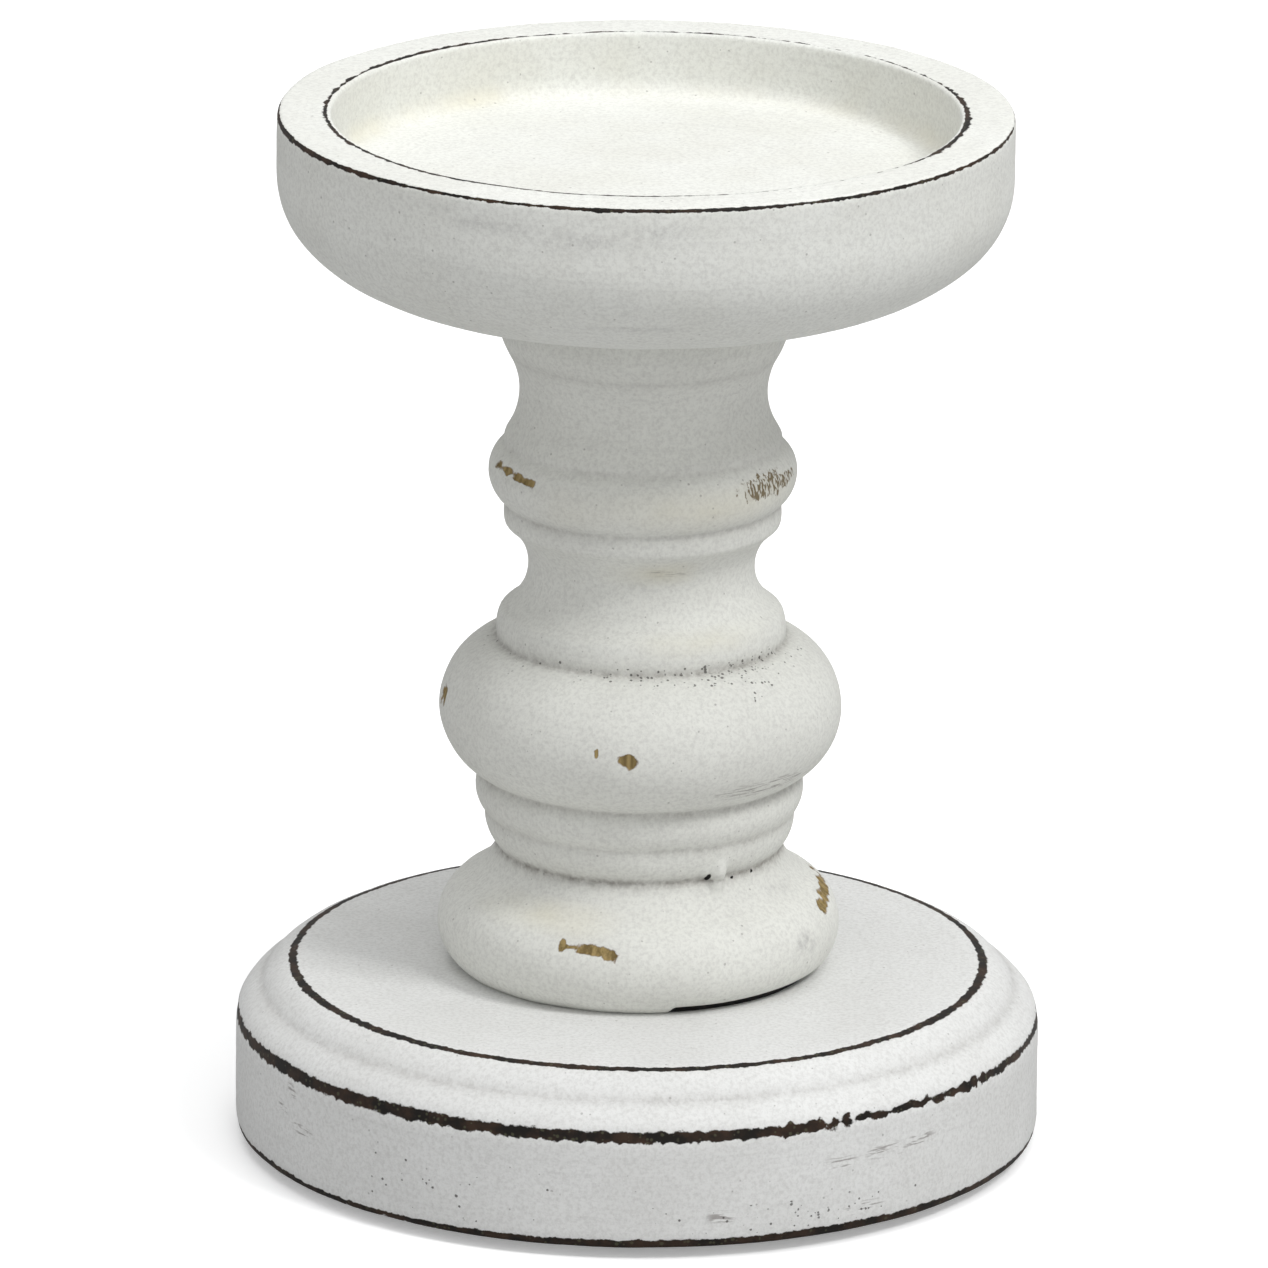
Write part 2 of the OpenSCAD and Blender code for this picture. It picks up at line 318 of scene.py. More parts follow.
def roughen(surface, lumps, teeth, lump_height, tooth_height, from_radius):
    """Raises and dents every row outside a radius, by broad lumps and fine teeth."""
    outside_rows = surface.rows[:, :1] > from_radius
    surface.raised += (lump_height * lumps + tooth_height * teeth) * outside_rows


def smooth_step(value, low, high):
    """0 below low, 1 above high, and an even curve between."""
    t = np.clip((value - low) / (high - low), 0, 1)
    return t * t * (3 - 2 * t)


print("waves round a piece:", WAVES)

# %% [markdown]
# ## Wear on edges
# The maker paints dark stained wood with white chalk paint, then sands the edges until the
# dark wood shows. The field "worn" is 0.5 at the border of the bare line, more inside it.
# Its half width is 2 * width * (strength - 0.5), so a strength under 0.5 leaves a gap.
# The sanding also takes wood away, so the same strength sinks and rounds the edge.

# %% Rub an edge bare
def rub_edge(surface, edge, below, above, strength, depth, tear=0.0):
    """Marks a worn line along an edge and sinks it. Widths are below and above the edge.

    The tear is a field of its own that breaks the line's border, for one ragged stretch."""
    away = surface.away(*edge)[:, None]
    on_far_side = (np.arange(len(surface.rows)) > surface.nearest_row(*edge))[:, None]
    width = np.where(on_far_side, above, below)
    worn = strength[None, :] - 0.5 * away / width + tear
    near = smooth_step(worn, 0.1, 1.0)
    surface.mark("worn", worn * (away < 4 * width))
    surface.raised -= depth * near * (away < 4 * width)


def darken_hollow(surface, hollow, reach, strength):
    """Marks the darkening of a hollow between two forms: dirt, and painted shade."""
    away = surface.away(*hollow)[:, None]
    surface.mark("hollow_dirt_and_shade", strength[None, :] * np.exp(-(away / reach) ** 1.3))


# %% [markdown]
# Chips, smears and stains are spots on the surface: an angle, a height, and half a width and
# half a height in millimetres. Each spot's field is 0.5 on its border as well. Noise of a
# millimetre or two makes the border wander before the material adds the finest teeth to it.

# %% Spots on a turned surface
def spot(surface, angle, height, half_width, half_height, wander=0.0, lean=0.0, outer=0.0):
    """A field that is 1 at the middle of a spot and 0.5 on its border.

    Only rows with at least the outer radius have it, so it can stay out of a recess."""
    rows = surface.rows
    across = np.radians(degrees_from(surface, angle))[None, :] * np.maximum(rows[:, :1], 1)
    up = rows[:, 1:] - height - lean * across
    distance = (np.abs(across / half_width) ** 3 + np.abs(up / half_height) ** 3) ** (1 / 3)
    field = np.where(rows[:, :1] >= outer, 1 - 0.5 * distance, 0)
    return np.clip(field + wander, 0, 1) * (distance < 2.2)


def chip(surface, depth, **shape):
    """A chip in the paint and a little of the wood."""
    field = spot(surface, **shape)
    surface.mark("chip", field)
    surface.raised -= depth * smooth_step(field, 0.4, 0.65)


print("edges, hollows, spots and chips are ready")

# %% [markdown]
# ## The base
# The base is one disc with a flat top and two steps turned into its edge. Its underside has a
# counterbore for the screw, so the outline starts in that hole, runs out along the underside,
# up the side and back over the top. The loop closes with one very short leg in the hole.

# %% Turn the base
base_line = outer_line("base_disc")
base_bottom = base_line[0][1]
base_top = base_line[-1][1]
hole_radius = float(levels("base_disc")[base_top][0])
sink_radius = float(levels("base_disc")[base_bottom][0])
sink_height = hole_levels("base_disc")[0][1]
LAST_LEG = 0.05
under_base = [
    (hole_radius, base_top - LAST_LEG),
    (hole_radius, sink_height),
    (sink_radius, sink_height),
    (sink_radius, base_bottom),
]
over_base = [(hole_radius, base_top)]
base = Turned(under_base + base_line + over_base, coarse=0.75, segments=660, looped=True)
outer_edge, step_hollow = [base_line[k] for k in corners(base_line)[1:-1]]
inner_edge = base_line[-1]
print("base: outer edge", outer_edge, "step", step_hollow, "inner edge", inner_edge)

# %% [markdown]
# Both edges of the steps and the bottom edge are rubbed through to dark wood. The widest line
# is on the outer edge, where hands and cloths catch. It is broken and ragged towards the
# right front, where the sanding missed. The bottom edge is worn by being pushed over tables.

# %% Wear the base
base_lumps = solid_noise(base, 9.0, 1)
base_teeth = solid_noise(base, 1.3, 2)
roughen(base, base_lumps, base_teeth, lump_height=0.06, tooth_height=0.015,
        from_radius=sink_radius + 5)
outer_strength = around(base, 0.86, 0.03, 11, [(36, 10, -0.16), (65, 20, -0.08)])
inner_strength = around(base, 0.85, 0.018, 12, [(-60, 30, 0.03), (75, 30, 0.05)])
bottom_strength = around(base, 0.82, 0.05, 13, [(-45, 12, -0.08), (55, 25, 0.06)])
torn_stretch = around(base, 0, 0, 0, [(40, 22, 1)])[None, :]
outer_tear = base_teeth * (0.035 + 0.2 * torn_stretch)
bottom_edge = max(base_line, key=lambda point: (point[0], -point[1]))
rub_edge(base, outer_edge, below=1.25, above=1.12, strength=outer_strength, depth=0.26, tear=outer_tear)
rub_edge(base, inner_edge, below=0.85, above=0.85, strength=inner_strength, depth=0.16)
rub_edge(base, bottom_edge, below=2.6, above=0.75, strength=bottom_strength, depth=0.14)
# The step's hollow is darkened with painted shade in its crease.
darken_hollow(base, step_hollow, reach=0.8, strength=around(base, 0.3, 0.02, 14))
print("strength of the wear on the outer edge:", round(float(outer_strength.max()), 2), "at most")

# %% [markdown]
# Things dragged against the side left thin dark scratches that run round it, in short rows.
# Two loose clouds of grit lie under them. The tables are in degrees and millimetres.

# %% Scratch the side of the base
SCRATCHES = (
    # angle, height, half length, lean
    (-55, 10.2, 2.2, -0.2),
    (-60.5, 12.2, 1.0, -0.35),
    (-58, 15.6, 0.9, -0.5),
    (38, 12.6, 3.0, 0.0),
    (44, 12.9, 2.2, 0.03),
    (30, 12.2, 2.0, 0.0),
    (34, 5.0, 2.5, 0.0),
    (12, 6.2, 1.5, 0.0),
    (150, 9.0, 4.0, 0.1),
)
SCRATCH_HALF_HEIGHT = 0.7
GRIT_ON_BASE = (
    # angle, height, half width, half height, strength
    (24, 5.5, 12, 1.6, 0.22),
    (-28, 8.0, 10, 3.0, 0.08),
)
for angle, height, half_length, lean in SCRATCHES:
    base.mark("smear", spot(base, angle, height, half_length, SCRATCH_HALF_HEIGHT, lean=lean))
for angle, height, half_width, half_height, strength in GRIT_ON_BASE:
    base.mark("grit", spot(base, angle, height, half_width, half_height) * strength)
print("fields on the base:", ", ".join(base.fields))

# %% [markdown]
# ## The column
# The column is turned from one piece: a foot, a hollow and two small beads, the bulb, a cove,
# another small bead, the upper bead with a sharp edge above it, and the long cove under the
# cup. Corners that turn outward are edges and corners that turn inward are hollows, and the
# outline itself says which is which.

# %% Turn the column
column_line = outer_line("column")
column_bottom = column_line[0][1]
column_top = column_line[-1][1]
pilot_ends = hole_levels("column")
low_pilot, high_pilot = pilot_ends[0], pilot_ends[-1]
column_outline = (
    [(0, low_pilot[1]), low_pilot, (low_pilot[0], column_bottom)]
    + column_line
    + [(high_pilot[0], column_top), high_pilot, (0, high_pilot[1])]
)
column = Turned(column_outline, coarse=0.62, segments=384)
column_turns = turns(column_line)
column_hollows = [column_line[k] for k in corners(column_line)[1:-1] if column_turns[k - 1] < 0]
column_edges = [column_line[k] for k in corners(column_line)[1:-1] if column_turns[k - 1] > 0]
print("column hollows at heights:", [z for _, z in column_hollows])
print("column edges at heights:", [z for _, z in column_edges])

# %% [markdown]
# Sanding dust and dirt, with painted shade, darken the hollows, and painted shade faintly
# darkens the fine ring on the neck. The chips are where something knocked the beads: on the
# upper bead at the left and at the back, round the bulb, and on the foot at the front, right
# and back. They go through the paint into bare, unstained wood. A long chip is a few spots
# that overlap.

# %% Wear the column
column_lumps = solid_noise(column, 7.0, 3)
column_teeth = solid_noise(column, 1.2, 4)
roughen(column, column_lumps, column_teeth, lump_height=0.07, tooth_height=0.012,
        from_radius=SCREW_HOLE_LIMIT)
# How dark each hollow of the column is painted: dirt, and painted shade in its crease.
HOLLOW_DARKENING = (0.8, 0.24, 0.4, 0.6, 0.34, 0.18)
for number, hollow in enumerate(column_hollows):
    dirt = around(column, HOLLOW_DARKENING[number], 0.04, 20 + number, [(35, 28, 0.08)])
    darken_hollow(column, hollow, reach=0.75, strength=dirt)
# Painted shade darkens the fine ring on the neck.
NECK_RING_DOWN = 9.6
neck_ring = min(column_line, key=lambda point: abs(point[1] - (column_top - NECK_RING_DOWN)))
darken_hollow(column, neck_ring, reach=0.9, strength=around(column, 0.2, 0.03, 29))
ragged = 0.22 * column_teeth
CHIPS = (
    # angle, height, half width, half height, lean, depth
    (-65, 101.2, 3.0, 0.5, 0.0, 0.22),
    (-54, 101.0, 2.2, 0.36, -0.03, 0.18),
    (-47, 100.8, 0.9, 0.55, 0.0, 0.18),
    (-3.6, 64.4, 1.35, 0.85, -0.1, 0.16),
    (-12.4, 65.2, 0.28, 0.6, 0.0, 0.12),
    (-80, 66.7, 1.2, 1.3, 0.0, 0.22),
    (-23, 36.0, 0.35, 0.85, 0.0, 0.12),
    (-20, 36.0, 1.6, 0.24, 0.0, 0.12),
    (-13.5, 35.7, 2.1, 0.62, -0.06, 0.15),
    (-8.4, 35.1, 1.1, 0.62, -0.25, 0.15),
    (86, 36.9, 5.6, 0.7, 0.1, 0.2),
    (75, 36.3, 1.6, 0.75, 0.1, 0.18),
    (128, 100.5, 3.0, 0.6, 0.0, 0.15),
    (196, 63.0, 2.4, 1.1, 0.1, 0.15),
    (-148, 35.0, 2.6, 0.8, 0.0, 0.15),
)
for angle, height, half_width, half_height, lean, depth in CHIPS:
    chip(column, depth, angle=angle, height=height, half_width=half_width,
         half_height=half_height, lean=lean, wander=ragged)
print("chips cover", round(100 * float((column.fields["chip"] > 0.5).mean()), 2), "% of the grid")

# %% [markdown]
# A patch on the right of the upper bead is rubbed in short strokes, not chipped. Thin greyish
# smears cross the underside of the bulb, and the top of the bulb is peppered with dark grit.
# The foot has two grey smudges, and old wax has left faint yellow stains in four places.

# %% Rub, smear and pepper the column
COLUMN_MARKS = (
    # field, angle, height, half width, half height, wander, strength
    ("scuff", 53, 100.3, 4.6, 1.5, 0.15, 1.0),
    ("scuff", 68, 100.2, 3.4, 0.8, 0.15, 1.0),
    ("smear", 42, 58.1, 6.5, 0.9, 0.15, 0.9),
    ("smear", 15, 88.6, 3.4, 0.6, 0.15, 0.6),
    ("grit", 42, 72.9, 3.5, 1.4, 0.0, 0.3),
    ("smudge", 57, 33.3, 2.2, 1.5, 0.2, 1.0),
    ("smudge", 62, 40.0, 4.0, 1.2, 0.2, 0.6),
)
BULB_SHOULDER = 74.5
PEPPER = ((40, 0.8), (55, 0.35), (10, 0.55), (-12, 0.4), (-55, 0.15), (170, 0.5))
COLUMN_STAINS = (
    # angle, height, half width, half height
    (22, 98.6, 14, 1.9),
    (33, 78.6, 7, 1.0),
    (-35, 38.6, 7, 1.2),
    (5, 88.5, 4, 1.2),
)
for name, angle, height, half_width, half_height, wander, strength in COLUMN_MARKS:
    patch = spot(column, angle, height, half_width, half_height, wander * column_teeth)
    column.mark(name, patch * strength)
for angle, strength in PEPPER:
    column.mark("grit", spot(column, angle, BULB_SHOULDER, 7.0, 0.7) * strength)
for angle, height, half_width, half_height in COLUMN_STAINS:
    patch = spot(column, angle, height, half_width, half_height, 0.1 * column_lumps)
    column.mark("stain", patch * 0.8)
print("fields on the column:", ", ".join(column.fields))

# %% [markdown]
# Thick paint ran down and bridges the hollow above the foot, with pinholes beside it. It is
# a spot that stands out instead of a dent, and the pinholes are tiny black spots.

# %% A run of paint
def run_of_paint(surface, angle, height, half_width, half_height, thickness):
    """Thick paint that has run down over a hollow."""
    swell = smooth_step(spot(surface, angle, height, half_width, half_height), 0.25, 0.75)
    surface.raised += thickness * swell


PINHOLES = (
    # angle, height over the hollow, half width, half height
    (27.8, 0.45, 0.32, 0.7),
    (40, -0.5, 0.28, 0.25),
    (46, -0.35, 0.2, 0.16),
    (51, -0.4, 0.3, 0.25),
)
groove = column_hollows[0][1]
run_of_paint(column, 32, groove + 0.2, half_width=1.05, half_height=2.1, thickness=1.15)
run_of_paint(column, 27, groove + 1.3, half_width=0.8, half_height=0.8, thickness=0.3)
for angle, climb, half_width, half_height in PINHOLES:
    column.mark("pinhole_and_gap_shade", spot(column, angle, groove + climb, half_width, half_height))
print("the run of paint stands out", round(float(column.raised.max()), 2), "mm at most")

# %% [markdown]
# The foot isn't quite flat. On its right front it stands off the base and leaves an open
# joint. The gap is shaped: the foot's rim and a narrow lip under it are lifted, and the
# underside stays down, so a wall stands just behind the gap. Where the joint opens, the
# underside is painted black: painted shade in the gap.

# %% An open joint
JOINT_LIP = 0.12  # mm of the underside that is lifted with the rim
JOINT_WALL = 0.45  # mm from the rim to the dark wall


def open_joint(surface, start, spread, gap, reach):
    """Lifts the rim of the foot off what it stands on: gap at the start, then less.

    The lift fades out upwards, over reach millimetres, and round the foot, over spread degrees."""
    rim_radius = column_line[0][0]
    rim = surface.nearest_row(rim_radius, column_bottom)
    surface.rows[rim - 2] = (rim_radius - JOINT_WALL, column_bottom)
    surface.rows[rim - 1] = (rim_radius - JOINT_LIP, column_bottom + 0.01)
    number = np.arange(len(surface.rows))[:, None]
    climb = surface.rows[:, 1:] - column_bottom
    turned = degrees_from(surface, start)
    closing = smooth_step(turned, 0.45 * spread, spread)
    opening = (gap * smooth_step(turned, 0, 2.5) * (1 - closing))[None, :]
    above_the_wall = (number >= rim - 1) & (climb < reach)
    surface.lifted += opening * np.where(above_the_wall, (1 - climb / reach) ** 2, 0)
    # Where the joint opens, the underside is painted black as the shade in the gap.
    underside = (number < rim) & (climb < 0.02)
    surface.mark("pinhole_and_gap_shade", underside * (opening > 0.02))


open_joint(column, start=9.5, spread=92, gap=0.72, reach=3.6)
print("open joint is", round(float(column.lifted.max()), 2), "mm high at most")

# %% [markdown]
# ## The cup
# The cup is a shallow bowl with a flat rim, hollowed for a pillar candle. The outline starts
# in the screw hole under it, goes up the outside and over the rim, and down into the recess.
# The recess's wall is the smallest radius at each height above its floor.

# %% Turn the cup
mounts = {mount["name"]: mount for mount in frame["record"]["mounts"]}
recess_radius = mounts["candle_recess"]["dims"]["r_mm"]
floor_height = round(mounts["candle_seat"]["pos_m"][2] / MM, 3)
cup_line = outer_line("candle_cup", (recess_radius, floor_height))
cup_hole = hole_levels("candle_cup")[0]
cup_levels = levels("candle_cup")
recess_heights = [z for z in sorted(cup_levels, reverse=True) if z >= floor_height]
recess_line = [(float(cup_levels[z][0]), z) for z in recess_heights]
hole_line = [(0, cup_hole[1]), cup_hole, (cup_hole[0], cup_line[0][1])]
cup = Turned(hole_line + cup_line + recess_line + [(0, floor_height)], coarse=0.8, segments=560)
print("recess floor at", floor_height, "mm, recess radius", recess_radius, "mm")

# %% [markdown]
# The line round the outside of the rim is thin, and widest at the left, where more was
# sanded off. The line round the recess comes and goes: it is almost gone at the right front
# and at the back, and widest at the right.

# %% Rub the cup's rim
cup_lumps = solid_noise(cup, 9.0, 5)
cup_teeth = solid_noise(cup, 1.2, 6)
roughen(cup, cup_lumps, cup_teeth, lump_height=0.06, tooth_height=0.012,
        from_radius=SCREW_HOLE_LIMIT)
EDGE_INSET = 0.12
rim_top = cup_line[-1][1]
rim_side = max(cup_line, key=lambda point: (point[0], point[1]))
outer_rim = (rim_side[0] - EDGE_INSET, (rim_top + rim_side[1]) / 2 + EDGE_INSET)
inner_rim = (recess_line[0][0] + 0.15, rim_top)
outer_patches = [(-70, 26, 0.2), (180, 75, -0.15), (115, 20, -0.08)]
inner_patches = [(92, 14, 0.05), (35, 26, -0.24), (165, 50, -0.16), (-40, 22, 0.04)]
outer_rim_strength = around(cup, 0.71, 0.045, 41, outer_patches)
inner_rim_strength = around(cup, 0.70, 0.045, 42, inner_patches)
rub_edge(cup, outer_rim, below=0.66, above=0.42, strength=outer_rim_strength, depth=0.1,
         tear=0.05 * cup_teeth)
rub_edge(cup, inner_rim, below=1.1, above=0.5, strength=inner_rim_strength, depth=0.12,
         tear=0.08 * cup_teeth)
print("rim edges at", outer_rim, "and", inner_rim)

# %% [markdown]
# Old wax has tinted the paint in the recess, most of all in the corner round its floor and on
# its back wall. The outside has been handled, so its front has grey smudges.

# %% Stain and smudge the cup
CUP_SMUDGES = (
    # angle, height, half width, half height
    (-25, 147.5, 7, 1.3),
    (-8, 146.5, 8, 1.6),
    (-33, 149.0, 2.5, 0.8),
    (2, 148.0, 6, 1.2),
    (-2, 133.0, 7, 0.5),
)
RECESS_LIMIT = 45
OUTSIDE_LIMIT = 46
recess_corner = (recess_line[-1][0] + 1.2, floor_height + 0.5)
near_corner = np.exp(-(cup.away(*recess_corner) / 2.0) ** 2)[:, None]
corner_strength = around(cup, 0.5, 0.1, 43, [(-100, 30, 0.15)])[None, :]
cup.mark("stain", near_corner * corner_strength)
back_wall = spot(cup, 180, floor_height + 4, 60, 3.5) * (cup.rows[:, :1] < RECESS_LIMIT)
cup.mark("stain", back_wall * 0.18)
for angle, height, half_width, half_height in CUP_SMUDGES:
    patch = spot(cup, angle, height, half_width, half_height, 0.2 * cup_lumps, outer=OUTSIDE_LIMIT)
    cup.mark("smudge", patch * 0.8)
print("fields on the cup:", ", ".join(cup.fields))

# %% [markdown]
# The three pieces have their dents and fields now, so each becomes a mesh. A mesh made from
# arrays in one go is quick, and nothing changes its shape afterwards.

# %% Make the three wood meshes
base_piece = turned_mesh("base_painted", base)
column_piece = turned_mesh("column_painted", column)
cup_piece = turned_mesh("cup_painted", cup)

# %% [markdown]
# ## Shader groups
# Every finish here shares a few effects: ragged borders, brush marks, dots, wood grain. Each
# is a node group with named inputs and outputs, built once. A group only gives values and
# colours, and the shader itself stays in the material, where the object's own numbers are.
# First come helpers that place a node and feed its sockets by name.

# %% Helpers that place nodes
def feed(tree, socket, value):
    """Links a socket's value, or sets it."""
    if isinstance(value, bpy.types.NodeSocket):
        tree.links.new(value, socket)
    else:
        socket.default_value = value


def place(tree, kind, settings=None, **inputs):
    """Adds a shader node, sets it up and feeds its inputs by name."""
    made = tree.nodes.new("ShaderNode" + kind)
    for label, value in (settings or {}).items():
        setattr(made, label, value)
    for label, value in inputs.items():
        feed(tree, made.inputs[label.replace("_", " ")], value)
    return made


def maths(tree, operation, *values):
    """One math node's result."""
    made = place(tree, "Math", {"operation": operation})
    for socket, value in zip(made.inputs, values):
        feed(tree, socket, value)
    return made.outputs[0]


def plus(tree, first, second):
    return maths(tree, "ADD", first, second)


def times(tree, first, second):
    return maths(tree, "MULTIPLY", first, second)


def between(tree, value, low, high):
    """0 below low, 1 above high, smooth between."""
    settings = {"interpolation_type": "SMOOTHSTEP"}
    return place(tree, "MapRange", settings, Value=value, From_Min=low, From_Max=high).outputs[0]


def blend(tree, factor, first, second):
    """A colour between two, by factor."""
    made = place(tree, "Mix", {"data_type": "RGBA"})
    feed(tree, made.inputs[0], factor)
    feed(tree, made.inputs[6], first)
    feed(tree, made.inputs[7], second)
    return made.outputs[2]


print("node helpers are ready")

# %% [markdown]
# Every texture here is placed by the object's own coordinates, in metres, so it stays on the
# wood. A scale of 1000 gives lumps of about a millimetre. Squeezed coordinates, multiplied
# by a different number each way, stretch a noise into fibres or strokes.

# %% Helpers for textures and groups
def on_object(tree):
    """The object's own coordinates, in metres."""
    return place(tree, "TexCoord").outputs["Object"]


def squeezed(tree, x, y, z):
    """The object's coordinates, each multiplied by its own number."""
    parts = place(tree, "SeparateXYZ", Vector=on_object(tree)).outputs
    across, deep, up = (times(tree, part, factor) for part, factor in zip(parts, (x, y, z)))
    return place(tree, "CombineXYZ", X=across, Y=deep, Z=up).outputs[0]


def mottle(tree, scale, detail, roughness=0.5, vector=None, distortion=0.0):
    """Noise from 0 to 1 over the object, or over other coordinates."""
    where = on_object(tree) if vector is None else vector
    made = place(tree, "TexNoise", Vector=where, Scale=scale, Detail=detail,
                 Roughness=roughness, Distortion=distortion)
    return made.outputs[0]


def new_group(name, inputs, outputs):
    """A node group with named sockets: the tree, its input node's sockets and its output node."""
    tree = bpy.data.node_groups.new(name, "ShaderNodeTree")
    for label, value in inputs.items():
        kind = "NodeSocketColor" if isinstance(value, tuple) else "NodeSocketFloat"
        tree.interface.new_socket(label, in_out="INPUT", socket_type=kind).default_value = value
    for label, kind in outputs.items():
        tree.interface.new_socket(label, in_out="OUTPUT", socket_type="NodeSocket" + kind)
    return tree, tree.nodes.new("NodeGroupInput").outputs, tree.nodes.new("NodeGroupOutput").inputs


def put_group(tree, group, **inputs):
    """Places a node group in a material and feeds its named inputs."""
    made = tree.nodes.new("ShaderNodeGroup")
    made.node_tree = group
    for label, value in inputs.items():
        feed(tree, made.inputs[label.replace("_", " ")], value)
    return made.outputs


print("texture helpers are ready")

# %% [markdown]
# Ragged edge: a mesh field is smooth, but worn paint has a torn border. Noise is added to the
# field before it is cut at 0.5, so the border tears at any scale, finer than the mesh.

# %% The ragged edge group
def ragged_edge_group():
    inputs = {"Field": 0.0, "Raggedness": 0.3, "Scale": 900.0, "Softness": 0.05}
    tree, given, result = new_group("Ragged edge", inputs, {"Mask": "Float"})
    tear = mottle(tree, given["Scale"], 4.0, 0.62)
    offset = times(tree, maths(tree, "SUBTRACT", tear, 0.5), given["Raggedness"])
    low = maths(tree, "SUBTRACT", 0.5, given["Softness"])
    high = plus(tree, 0.5, given["Softness"])
    feed(tree, result["Mask"], between(tree, plus(tree, given["Field"], offset), low, high))
    return tree


ragged_edge = ragged_edge_group()
print("group:", ragged_edge.name)

# %% [markdown]
# Brush marks: the paint was brushed on while the piece turned, so its marks run round it. The
# noise is squeezed along height plus radius, and long round the piece, so the same marks
# show on a side and on a flat top.

# %% The brush marks group
def brush_marks_group():
    inputs = {"Fineness": 900.0, "Length": 30.0}
    tree, given, result = new_group("Brush marks", inputs, {"Value": "Float"})
    x, y, z = place(tree, "SeparateXYZ", Vector=on_object(tree)).outputs
    squared = plus(tree, times(tree, x, x), times(tree, y, y))
    across = plus(tree, z, maths(tree, "SQRT", squared))
    stretched = place(tree, "CombineXYZ", X=times(tree, x, given["Length"]),
                      Y=times(tree, y, given["Length"]), Z=times(tree, across, given["Fineness"]))
    feed(tree, result["Value"], mottle(tree, 1.0, 3.0, 0.6, stretched.outputs[0]))
    return tree


brush_marks = brush_marks_group()
print("group:", brush_marks.name)

# %% [markdown]
# Dots: pinholes and grit are small, separate and of many sizes. Each cell of a Voronoi
# texture has one centre and one random colour, and the colour says whether it has a dot.

# %% The dots group
def dots_group():
    inputs = {"Amount": 0.05, "Size": 0.2, "Scale": 1000.0}
    tree, given, result = new_group("Dots", inputs, {"Mask": "Float"})
    cells = place(tree, "TexVoronoi", Vector=on_object(tree), Scale=given["Scale"])
    draw = place(tree, "SeparateColor", Color=cells.outputs["Color"]).outputs
    chosen = maths(tree, "LESS_THAN", draw[0], given["Amount"])
    radius = times(tree, given["Size"], plus(tree, draw[1], 0.4))
    beyond = between(tree, maths(tree, "DIVIDE", cells.outputs["Distance"], radius), 0.6, 1.1)
    feed(tree, result["Mask"], times(tree, chosen, maths(tree, "SUBTRACT", 1.0, beyond)))
    return tree


dots = dots_group()
print("group:", dots.name)

# %% [markdown]
# Wood grain: long fibres with darker pores. The column's grain runs up it, and the discs' runs
# across them, so the group takes how much to squeeze each direction.

# %% The wood grain group
def wood_grain_group():
    inputs = {"Light": (0.4, 0.25, 0.11, 1), "Dark": (0.2, 0.1, 0.04, 1),
              "Across": 900.0, "Along X": 900.0, "Along Z": 60.0}
    tree, given, result = new_group("Wood grain", inputs, {"Color": "Color", "Height": "Float"})
    along = squeezed(tree, given["Along X"], given["Across"], given["Along Z"])
    fibres = between(tree, mottle(tree, 1.0, 5.0, 0.65, along), 0.35, 0.68)
    feed(tree, result["Color"], blend(tree, fibres, given["Dark"], given["Light"]))
    feed(tree, result["Height"], fibres)
    return tree


wood_grain = wood_grain_group()
print("group:", wood_grain.name)

# %% [markdown]
# ## The worn paint
# From the wood outwards: bare tan wood in the chips, dark stained wood on the rubbed edges,
# then chalk paint with brush marks, stains, dirt, painted shade in the hollows and dots. Masks
# choose what shows. The paint comes first: two close whites in clouds, a chalky speckle,
# brush marks and yellow stains.

# %% The colour of the paint
BRUSH_SHADE = (0.42, 0.41, 0.40, 1)
CHALK_SHADE = (0.40, 0.39, 0.37, 1)
WAX_YELLOW = (0.70, 0.66, 0.50, 1)


def field(tree, label):
    """One of the mesh's own fields."""
    return place(tree, "Attribute", {"attribute_name": label}).outputs["Fac"]


def paint_colour(tree, tint, warm, marks):
    """The paint itself: two close whites, brush marks, chalk and yellow stains."""
    clouds = between(tree, mottle(tree, 55.0, 4.0, 0.55), 0.35, 0.7)
    colour = blend(tree, clouds, tint, warm)
    shade = times(tree, between(tree, marks, 0.5, 0.8), 0.10)
    colour = blend(tree, shade, colour, BRUSH_SHADE)
    chalk = between(tree, mottle(tree, 1700.0, 3.0, 0.7), 0.38, 0.7)
    colour = blend(tree, times(tree, chalk, 0.28), colour, CHALK_SHADE)
    stained = times(tree, field(tree, "stain"), plus(tree, clouds, 0.35))
    return blend(tree, times(tree, stained, 0.5), colour, WAX_YELLOW)


print("old wax tints the paint", WAX_YELLOW[:3])

# %% [markdown]
# Dirt and painted shade darken the hollows, and dirt goes over the paint in smudges and in
# thin smears that follow the brush marks. Fine dots lie everywhere, and coarse grit where the
# mesh's field asks for it.

# %% Dirt, painted shade and dots on the paint
# The first brown darkens the hollows: dirt, and painted shade.
DIRT_AND_SHADE_BROWN = (0.16, 0.14, 0.12, 1)
SMUDGE_GREY = (0.28, 0.27, 0.27, 1)
SMEAR_BROWN = (0.17, 0.14, 0.13, 1)
FAINT_DOT = (0.25, 0.23, 0.21, 1)
FINE_DOT = (0.13, 0.11, 0.10, 1)
GRIT_BLACK = (0.06, 0.055, 0.05, 1)


def dirt_and_shade_colour(tree, colour):
    """The paint with dirt and painted shade in its hollows, and dirt in smudges and smears."""
    patchy = between(tree, mottle(tree, 700.0, 5.0, 0.75), 0.3, 0.72)
    # Dirt and painted shade darken the hollows by the mesh's field.
    dirt = times(tree, field(tree, "hollow_dirt_and_shade"), plus(tree, times(tree, patchy, 0.7), 0.35))
    colour = blend(tree, dirt, colour, DIRT_AND_SHADE_BROWN)
    smudge = times(tree, between(tree, field(tree, "smudge"), 0.2, 0.9), patchy)
    colour = blend(tree, times(tree, smudge, 0.5), colour, SMUDGE_GREY)
    streaks = put_group(tree, brush_marks, Fineness=2600.0, Length=240.0)[0]
    smeared = between(tree, field(tree, "smear"), 0.15, 0.6)
    smear = times(tree, between(tree, streaks, 0.52, 0.6), smeared)
    return blend(tree, times(tree, smear, 0.6), colour, SMEAR_BROWN)


